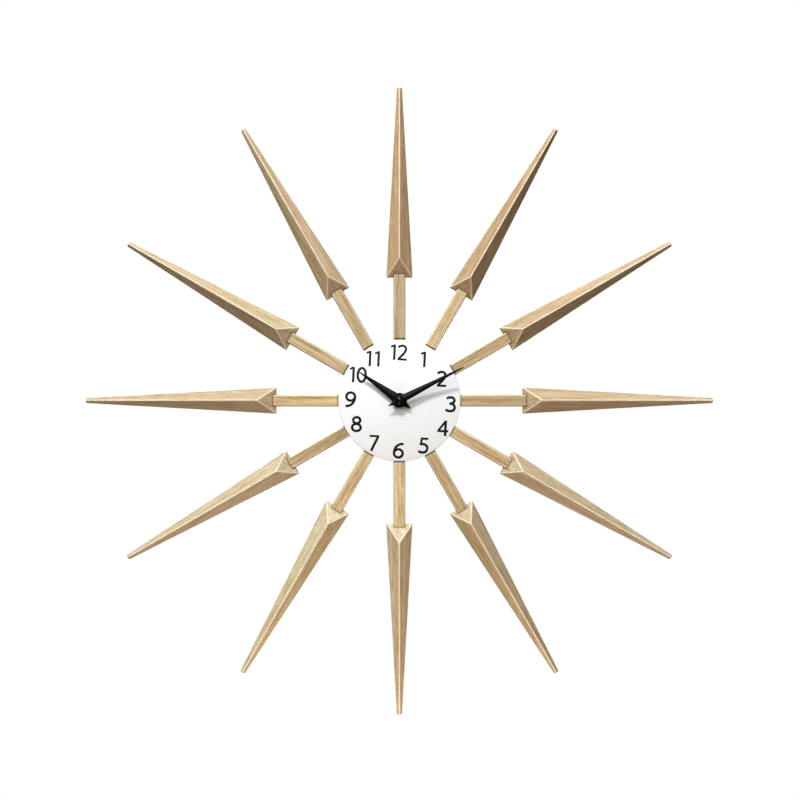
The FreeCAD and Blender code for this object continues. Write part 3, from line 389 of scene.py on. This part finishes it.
def hand_lacquer():
    """Black lacquer on thin metal, glossy and a little gritty."""
    shader = Shader("hand_lacquer")
    place = shader.millimetres()
    cloud = shader.noise(place, 0.4, 4.0, 0.6)
    grit = shader.noise(place, 4.0, 2.0, 0.6)
    tinted = shader.mix(cloud, (0.003, 0.003, 0.0035), (0.006, 0.006, 0.007))
    shine = shader.spread(cloud, 0.3, 0.7, 0.17, 0.25)
    return shader.finish(tinted, shine, shader.bump(grit, 0.00002, 0.25), Specular_IOR_Level=0.22)


WIRE_PITCH = 0.16             # mm from one turn of the coil to the next


def winding():
    """Enamelled copper wire in close turns along X."""
    shader = Shader("copper_winding")
    place = shader.millimetres()
    x = shader.split(place)[0]
    turns = shader.math("SINE", shader.math("MULTIPLY", x, 2 * math.pi / WIRE_PITCH))
    uneven = shader.noise(shader.place(place, (3.0, 0.4, 0.4)), 1.0, 2.0)
    height = shader.math("MULTIPLY_ADD", uneven, 1.2, turns)
    # The colour darkens in the grooves between the turns: painted shade.
    tinted = shader.mix(shader.spread(height, -0.4, 1.5), (0.28, 0.075, 0.028), (0.74, 0.31, 0.13))
    return shader.finish(tinted, 0.32, shader.bump(height, 0.00004, 0.8), Metallic=0.9,
                         Coat_Weight=0.5)


def board():
    """Green solder mask over darker laminate, with raised copper tracks."""
    shader = Shader("solder_mask")
    place = shader.millimetres()
    bend = shader.node("ShaderNodeTexVoronoi", distance="MANHATTAN", feature="DISTANCE_TO_EDGE")
    shader.feed(bend.inputs["Vector"], shader.place(place, (0.42, 0.0, 0.42)))
    track = shader.spread(bend.outputs["Distance"], 0.10, 0.07)
    blotch = shader.noise(place, 0.5, 4.0, 0.6)
    mask = shader.mix(blotch, (0.018, 0.105, 0.045), (0.026, 0.150, 0.062))
    tinted = shader.mix(shader.math("MULTIPLY", track, 0.75), mask, (0.085, 0.29, 0.12))
    relief = shader.math("MULTIPLY_ADD", blotch, 0.2, track)
    return shader.finish(tinted, 0.34, shader.bump(relief, 0.00005, 0.5), Coat_Weight=0.4)


def cell_sleeve(low, high):
    """Shrink sleeve of the AA cell: dark body, a copper-toned shoulder, bare steel ends."""
    shader = Shader("cell_sleeve")
    place = shader.millimetres()
    x = shader.split(place)[0]
    length = high - low
    shoulder = shader.spread(x, low + 0.76 * length, low + 0.765 * length)
    line = shader.math("MULTIPLY", shader.spread(x, low + 0.735 * length, low + 0.738 * length),
                       shader.spread(x, low + 0.750 * length, low + 0.747 * length))
    ends = shader.math("MAXIMUM", shader.spread(x, low + 0.8, low + 0.6),
                       shader.spread(x, high - 2.0, high - 1.8))
    crease = shader.noise(shader.place(place, (0.25, 1.1, 1.1)), 1.0, 4.0, 0.6)
    cloud = shader.noise(place, 0.3, 3.0, 0.6)
    body = shader.mix(cloud, (0.018, 0.018, 0.021), (0.034, 0.034, 0.038))
    copper = shader.mix(cloud, (0.50, 0.26, 0.12), (0.62, 0.34, 0.17))
    tinted = shader.mix(shoulder, body, copper)
    tinted = shader.mix(line, tinted, (0.66, 0.66, 0.68))
    tinted = shader.mix(ends, tinted, (0.62, 0.62, 0.60))
    metallic = shader.math("MAXIMUM", shader.math("MULTIPLY", shoulder, 0.8), ends)
    shader.feed(shader.surface.inputs["Metallic"], metallic)
    shine = shader.spread(cloud, 0.3, 0.7, 0.24, 0.36)
    return shader.finish(tinted, shine, shader.bump(crease, 0.00006, 0.3))


def rubber():
    """Matt black rubber with a pale bloom."""
    shader = Shader("rubber_sheet")
    place = shader.millimetres()
    grit = shader.noise(place, 5.0, 4.0, 0.7)
    bloom = shader.noise(place, 0.3, 4.0, 0.6)
    tinted = shader.mix(shader.spread(bloom, 0.4, 0.7), (0.018, 0.018, 0.018), (0.045, 0.044, 0.042))
    return shader.finish(tinted, shader.spread(bloom, 0.3, 0.7, 0.72, 0.88),
                         shader.bump(grit, 0.00008, 0.6))


def magnet():
    """Sintered magnet: dark grey, grainy."""
    shader = Shader("sintered_magnet")
    place = shader.millimetres()
    grain = shader.noise(place, 6.0, 4.0, 0.75)
    tinted = shader.ramp(grain, ((0.35, (0.075, 0.077, 0.083)), (0.65, (0.165, 0.167, 0.175))))
    return shader.finish(tinted, shader.spread(grain, 0.3, 0.7, 0.42, 0.62),
                         shader.bump(grain, 0.00005, 0.5), Metallic=0.7)


# ---------------------------------------------------------------- dress every CAD node
def dress(node, material):
    """Give a CAD node one material."""
    target = nodes[node].data
    target.materials.clear()
    target.materials.append(material)


def dress_all():
    """Choose a material for every CAD node."""
    black_shell = moulded("housing_plastic", (0.022, 0.022, 0.024), 0.52, 0.7)
    black_case = moulded("movement_plastic", (0.028, 0.028, 0.030), 0.45, 0.5)
    cover = moulded("cover_plastic", (0.060, 0.060, 0.064), 0.50, 0.6)
    acetal = moulded("acetal_natural", (0.70, 0.68, 0.61), 0.42, 0.25, 0.05)
    gear_white = moulded("gear_acetal", (0.78, 0.765, 0.715), 0.38, 0.22, 0.05)
    gear_red = moulded("gear_red_acetal", (0.46, 0.030, 0.022), 0.36, 0.25, 0.10)
    zinc = metal("zinc_plate", (0.63, 0.64, 0.65), 0.34, (1.2, 1.2, 1.2), (0.60, 0.58, 0.50))
    spring = metal("nickel_spring", (0.66, 0.65, 0.62), 0.28, (4.0, 0.2, 4.0))
    core = metal("electrical_sheet", (0.36, 0.37, 0.40), 0.40, (0.2, 4.0, 6.0), (0.30, 0.29, 0.29))
    brass = turned("turned_brass", (0.80, 0.58, 0.26), 0.26)
    black_hand = hand_lacquer()
    cell_low, cell_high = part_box("battery")
    dresses = {
        "hub_housing": black_shell, "movement_case": black_case, "movement_cover": cover,
        "dial": dial_white(), "gear_bridge": acetal, "coil_bobbin": acetal,
        "seconds_wheel": gear_white, "third_wheel": gear_white, "centre_wheel": gear_white,
        "cannon_pinion": gear_white, "hour_wheel": gear_white, "intermediate_wheel": gear_red,
        "motion_wheel": gear_red, "set_knob": gear_red, "spoke_screws": zinc,
        "hanger_plate": zinc, "hanger_screws": zinc, "quartz_crystal": spring,
        "clutch_washer": spring, "contact_positive": spring, "contact_negative": spring,
        "coil_core": core, "stator": core, "rotor": magnet(), "minute_arbor": brass,
        "brass_washer": brass, "shaft_nut": brass, "rubber_washer": rubber(),
        "coil_winding": winding(), "circuit_board": board(),
        "control_chip": moulded("potting_epoxy", (0.012, 0.012, 0.012), 0.22, 0.15),
        "battery": cell_sleeve(cell_low.x / MM, cell_high.x / MM),
        "hour_hand": black_hand, "minute_hand": black_hand, "cap_nut": black_hand,
    }
    for hour in HOURS:
        dresses[f"ray_head_{hour:02d}"] = wood(
            f"head_wood_{hour:02d}", hour, HEAD_TONES[hour - 1], head_tint(hour), HEAD_CONTRAST, head_marks)
        dresses[f"spoke_bar_{hour:02d}"] = wood(
            f"bar_wood_{hour:02d}", hour, BAR_TONES[hour - 1], BAR_TINT, BAR_CONTRAST, bar_marks)
    for node, material in dresses.items():
        dress(node, material)


# ---------------------------------------------------------------- numerals printed on the dome
# Millimetres, across and up from the hand axis or from the middle of a digit.
NUMERAL_LEAN = math.radians(-3.0)
INK_LIFT = 0.03               # the print stands this far off the dial
CELL = 0.25                   # size of the print's mesh cells
MARGIN = 2.0                  # room round a numeral's centre lines
THICK = 2.45                  # width of an upright stroke
THIN = 2.1                    # and of a level one
NUMERALS = {                  # where the middle of each numeral is
    1: (22.9, 40.1), 2: (41.1, 21.0), 3: (49.8, -3.7), 4: (42.3, -26.8), 5: (23.3, -43.9),
    6: (-0.9, -48.7), 7: (-24.5, -41.6), 8: (-41.6, -22.9), 9: (-47.4, 1.1), 10: (-40.2, 24.9),
    11: (-25.8, 40.8), 12: (-0.7, 46.7),
}
SPACING = {10: 8.1, 11: 8.3, 12: 7.8}   # from the first digit's middle to the second's
DIAL_RADIUS = 59.2
DIAL_FLAT_RADIUS = 9.0        # the level middle of the dial
DIAL_DOME = 6.0               # how far the middle stands out from the rim
CURVE_STEPS = 24              # straight pieces in a curve
ELLIPSE_STEPS = 56            # and in an ellipse
FAR = 1e9                     # farther than any stroke


def bezier(*corners):
    """Points on a cubic curve."""
    points = []
    for index in range(CURVE_STEPS + 1):
        t = index / CURVE_STEPS
        weights = ((1 - t) ** 3, 3 * t * (1 - t) ** 2, 3 * t * t * (1 - t), t ** 3)
        points.append((sum(w * c[0] for w, c in zip(weights, corners)),
                       sum(w * c[1] for w, c in zip(weights, corners))))
    return points


def ellipse(x, y, across, up):
    """Points round an ellipse with the given half axes."""
    points = []
    for index in range(ELLIPSE_STEPS + 1):
        angle = math.radians(360.0 * index / ELLIPSE_STEPS)
        points.append((x + across * math.cos(angle), y + up * math.sin(angle)))
    return points


def half_turn(strokes):
    """The same strokes upside down."""
    return [([(-x, -y) for x, y in points], width) for points, width in strokes]


SIX = [(ellipse(0.0, -2.75, 4.2, 3.95), THICK),
       (bezier((4.2, 6.55), (-0.6, 6.75), (-4.2, 3.0), (-4.2, -2.4)), THICK)]
STROKES = {                   # each digit's centre lines and their widths
    "0": [(ellipse(0.0, 0.0, 3.85, 6.7), THICK)],
    "1": [([(0.0, -7.55), (0.0, 7.5)], THICK),
          ([(-3.75, 5.15), (0.2, 6.95)], THIN)],
    "2": [(bezier((-3.75, 5.35), (-2.4, 6.65), (-0.9, 6.75), (-0.1, 6.72))
           + bezier((-0.1, 6.72), (2.0, 6.65), (3.2, 5.3), (3.2, 3.35))
           + bezier((3.2, 3.35), (3.2, 0.6), (0.2, -2.0), (-3.7, -6.5)), THICK),
          ([(-4.6, -6.73), (4.6, -6.73)], THIN)],
    "3": [(bezier((-3.7, 5.75), (-2.2, 6.7), (-0.8, 6.75), (-0.2, 6.75))
           + bezier((-0.2, 6.75), (2.1, 6.7), (3.2, 5.4), (3.2, 3.9))
           + bezier((3.2, 3.9), (3.2, 1.9), (1.2, 0.7), (-0.9, 0.65)), THICK),
          ([(-1.6, 0.6), (-0.2, 0.6)], THIN),
          (bezier((-0.6, 0.6), (2.2, 0.6), (3.85, -0.9), (3.85, -3.0))
           + bezier((3.85, -3.0), (3.85, -5.4), (1.9, -6.7), (-0.7, -6.7))
           + bezier((-0.7, -6.7), (-1.9, -6.7), (-3.2, -6.4), (-4.25, -5.8)), THICK)],
    "4": [([(2.35, -7.55), (2.35, 7.5)], THICK),
          ([(2.15, 6.7), (-4.4, -2.6)], THIN),
          ([(-5.4, -2.95), (5.2, -2.95)], THIN)],
    "5": [([(-2.6, 6.72), (4.3, 6.72)], THIN),
          ([(-1.95, 7.5), (-2.75, 0.6)], THIN),
          (bezier((-3.3, 1.25), (0.8, 2.0), (3.75, 0.6), (3.75, -2.4))
           + bezier((3.75, -2.4), (3.75, -5.2), (1.8, -6.7), (-0.9, -6.7))
           + bezier((-0.9, -6.7), (-2.2, -6.7), (-3.2, -6.4), (-4.1, -5.9)), THICK)],
    "6": SIX,
    "7": [([(-4.7, 6.72), (4.6, 6.72)], THIN),
          ([(3.95, 7.0), (-2.6, -7.9)], THICK)],
    "8": [(ellipse(0.0, 3.75, 3.4, 2.98), THICK),
          (ellipse(0.0, -3.25, 4.2, 3.45), THICK)],
    "9": half_turn(SIX),
}


def stroke_distance(grid_x, grid_y, points, width):
    """Signed distance to a stroke with square ends, negative inside."""
    nearest = np.full(grid_x.shape, FAR)
    last = len(points) - 2
    closed = math.dist(points[0], points[-1]) < 1e-6
    for index, ((ax, ay), (bx, by)) in enumerate(zip(points, points[1:])):
        length = math.hypot(bx - ax, by - ay)
        if length < 1e-9:
            continue
        ux, uy = (bx - ax) / length, (by - ay) / length
        along = (grid_x - ax) * ux + (grid_y - ay) * uy
        aside = np.abs((grid_y - ay) * ux - (grid_x - ax) * uy)
        before = np.maximum(-along, 0.0)
        after = np.maximum(along - length, 0.0)
        distance = np.hypot(aside, before + after) - width / 2
        if index == 0 and not closed:
            distance = np.maximum(distance, -along)
        if index == last and not closed:
            distance = np.maximum(distance, along - length)
        nearest = np.minimum(nearest, distance)
    return nearest


def dome_depth(radius):
    """How far the dial's front lies behind its middle."""
    run = DIAL_RADIUS - DIAL_FLAT_RADIUS
    curve = (run * run + DIAL_DOME * DIAL_DOME) / (2 * DIAL_DOME)
    out = max(0.0, radius - DIAL_FLAT_RADIUS)
    return curve - math.sqrt(curve * curve - out * out)


def filled_cells(field):
    """Marching squares: corners and faces of the area where a field is negative."""
    corners, faces, known = [], [], {}

    def corner(key, x, y):
        if key not in known:
            known[key] = len(corners)
            corners.append((x, y))
        return known[key]

    rows, columns = field.shape
    for row in range(rows - 1):
        for column in range(columns - 1):
            ring = ((row, column), (row, column + 1), (row + 1, column + 1), (row + 1, column))
            values = [field[at] for at in ring]
            if min(values) >= 0:
                continue
            face = []
            for index in range(4):
                (r0, c0), (r1, c1) = ring[index], ring[(index + 1) % 4]
                v0, v1 = values[index], values[(index + 1) % 4]
                if v0 < 0:
                    face.append(corner((r0, c0), c0, r0))
                if (v0 < 0) != (v1 < 0):
                    share = v0 / (v0 - v1)
                    key = tuple(sorted(((r0, c0), (r1, c1))))
                    face.append(corner(key, c0 + share * (c1 - c0), r0 + share * (r1 - r0)))
            if len(set(face)) >= 3:
                faces.append(face)
    return corners, faces


def print_numeral(hour, ink):
    """One numeral as a film of ink that follows the dome."""
    middle_x, middle_z = NUMERALS[hour]
    strokes = []
    for index, digit in enumerate(str(hour)):
        shift = index * SPACING.get(hour, 0.0)
        strokes += [([(x + shift, y) for x, y in points], width) for points, width in STROKES[digit]]
    reach = [point for points, width in strokes for point in points]
    low_x, low_y = (min(p[axis] for p in reach) - MARGIN for axis in (0, 1))
    high_x, high_y = (max(p[axis] for p in reach) + MARGIN for axis in (0, 1))
    grid_x, grid_y = np.meshgrid(np.arange(low_x, high_x, CELL), np.arange(low_y, high_y, CELL))
    field = np.full(grid_x.shape, FAR)
    for points, width in strokes:
        field = np.minimum(field, stroke_distance(grid_x, grid_y, points, width))
    inked = field < 0
    centre_x = (grid_x[inked].min() + grid_x[inked].max()) / 2
    centre_y = (grid_y[inked].min() + grid_y[inked].max()) / 2
    corners, faces = filled_cells(field)
    front = -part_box("dial")[0].y / MM + INK_LIFT
    cosine, sine = math.cos(NUMERAL_LEAN), math.sin(NUMERAL_LEAN)
    vertices = []
    for column, row in corners:
        x = low_x + column * CELL - centre_x
        y = low_y + row * CELL - centre_y
        x, z = middle_x + x * cosine - y * sine, middle_z + x * sine + y * cosine
        out = front - dome_depth(math.hypot(x, z))
        vertices.append((x * MM, -out * MM, z * MM))
    mesh = bpy.data.meshes.new(f"numeral_{hour:02d}")
    mesh.from_pydata(vertices, [], faces)
    mesh.materials.append(ink)
    mesh.validate()
    mesh.shade_smooth()
    piece = bpy.data.objects.new(f"numeral_{hour:02d}", mesh)
    bpy.context.scene.collection.objects.link(piece)
    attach(piece, "clock_body")


# ---------------------------------------------------------------- studio
# Metres.
AIM = Vector((0.0, -0.022, 0.0))
VIEW_DISTANCE = 2.917
VIEW_BELOW = math.radians(1.0)          # the camera looks very slightly up
FRAME_WIDTH = 0.7776          # what the picture shows across at the clock
FRAME_SHIFT = (0.00069, 0.00065)        # the clock is a hair off the middle of the picture
SENSOR = 36.0                 # mm
BACKDROP_SHOWN = 1.0          # strength of the white backdrop as the camera sees it
BACKDROP_FILL = 0.015         # and as it lights the clock


def look_at(thing, place, target):
    """Put a camera or lamp at a place, pointing at a target with +Z up."""
    back = (place - target).normalized()
    right = Vector((0, 0, 1)).cross(back).normalized()
    up = back.cross(right)
    turn = Matrix((right, up, back)).transposed()
    thing.matrix_world = Matrix.Translation(place) @ turn.to_4x4()


def camera():
    """A long lens, almost square on to the dial."""
    data = bpy.data.cameras.new("camera")
    data.sensor_width = SENSOR
    data.lens = SENSOR * VIEW_DISTANCE / FRAME_WIDTH
    data.shift_x, data.shift_y = FRAME_SHIFT
    thing = bpy.data.objects.new("camera", data)
    bpy.context.scene.collection.objects.link(thing)
    place = AIM + VIEW_DISTANCE * Vector((0, -math.cos(VIEW_BELOW), -math.sin(VIEW_BELOW)))
    look_at(thing, place, AIM)
    bpy.context.scene.camera = thing


def softbox(name, elevation, left, distance, width, height, power, colour=(1, 1, 1)):
    """A soft rectangular lamp, so high and so far round to the left of the clock's front."""
    data = bpy.data.lights.new(name, "AREA")
    data.shape = "RECTANGLE"
    data.size, data.size_y = width, height
    data.energy = power
    data.color = colour
    thing = bpy.data.objects.new(name, data)
    bpy.context.scene.collection.objects.link(thing)
    up, side = math.radians(elevation), math.radians(left)
    away = Vector((-math.cos(up) * math.sin(side), -math.cos(up) * math.cos(side), math.sin(up)))
    look_at(thing, AIM + distance * away, AIM)
    thing.visible_camera = False


def surroundings():
    """A white backdrop that fills in with a dimmer light than it shows."""
    world = bpy.data.worlds.new("studio")
    world.use_nodes = True
    tree = world.node_tree
    backdrop = tree.nodes["Background"]
    backdrop.inputs["Color"].default_value = (1.0, 1.0, 1.0, 1.0)
    seen = tree.nodes.new("ShaderNodeLightPath")
    level = tree.nodes.new("ShaderNodeMapRange")
    tree.links.new(seen.outputs["Is Camera Ray"], level.inputs["Value"])
    level.inputs["To Min"].default_value = BACKDROP_FILL
    level.inputs["To Max"].default_value = BACKDROP_SHOWN
    tree.links.new(level.outputs["Result"], backdrop.inputs["Strength"])
    bpy.context.scene.world = world
    bpy.context.scene.view_settings.view_transform = "Standard"


def floor():
    """A plain pale studio floor, well below the clock, with a softly turned-up far edge."""
    shader = Shader("studio_floor")
    place = shader.millimetres()
    soft = shader.noise(place, 0.004, 3.0, 0.5)
    fine = shader.noise(place, 0.6, 3.0, 0.6)
    tinted = shader.mix(soft, (0.69, 0.66, 0.62), (0.73, 0.70, 0.66))
    material = shader.finish(tinted, 0.75, shader.bump(fine, 0.0001, 0.1))
    side, front, back, level, sweep = 1.1, -0.6, 1.3, -1.5, 0.5
    outline = [(front, level)]
    for degrees in range(0, 16, 3):
        angle = math.radians(degrees)
        outline.append((back - sweep + sweep * math.sin(angle), level + sweep - sweep * math.cos(angle)))
    vertices = [(x, y, z) for y, z in outline for x in (-side, side)]
    faces = [(2 * i, 2 * i + 1, 2 * i + 3, 2 * i + 2) for i in range(len(outline) - 1)]
    mesh = bpy.data.meshes.new("studio_floor")
    mesh.from_pydata(vertices, [], faces)
    mesh.materials.append(material)
    thing = bpy.data.objects.new("studio_floor", mesh)
    bpy.context.scene.collection.objects.link(thing)


dress_all()
ink = numeral_ink()
for numbered in HOURS:
    print_numeral(numbered, ink)
camera()
# degrees up and round to the left, then metres away, across and high, then watts
softbox("key", 54, 13, 2.7, 0.30, 0.30, 57)
softbox("wide_key", 49, 15, 2.7, 3.6, 3.6, 101)
softbox("bounce", -74, -5, 0.52, 0.34, 0.24, 1.20, (1.0, 0.74, 0.53))
softbox("rear", 22, 168, 2.4, 1.1, 0.9, 29)
softbox("rear_fill", -10, 200, 2.4, 0.9, 0.9, 12)
surroundings()
floor()
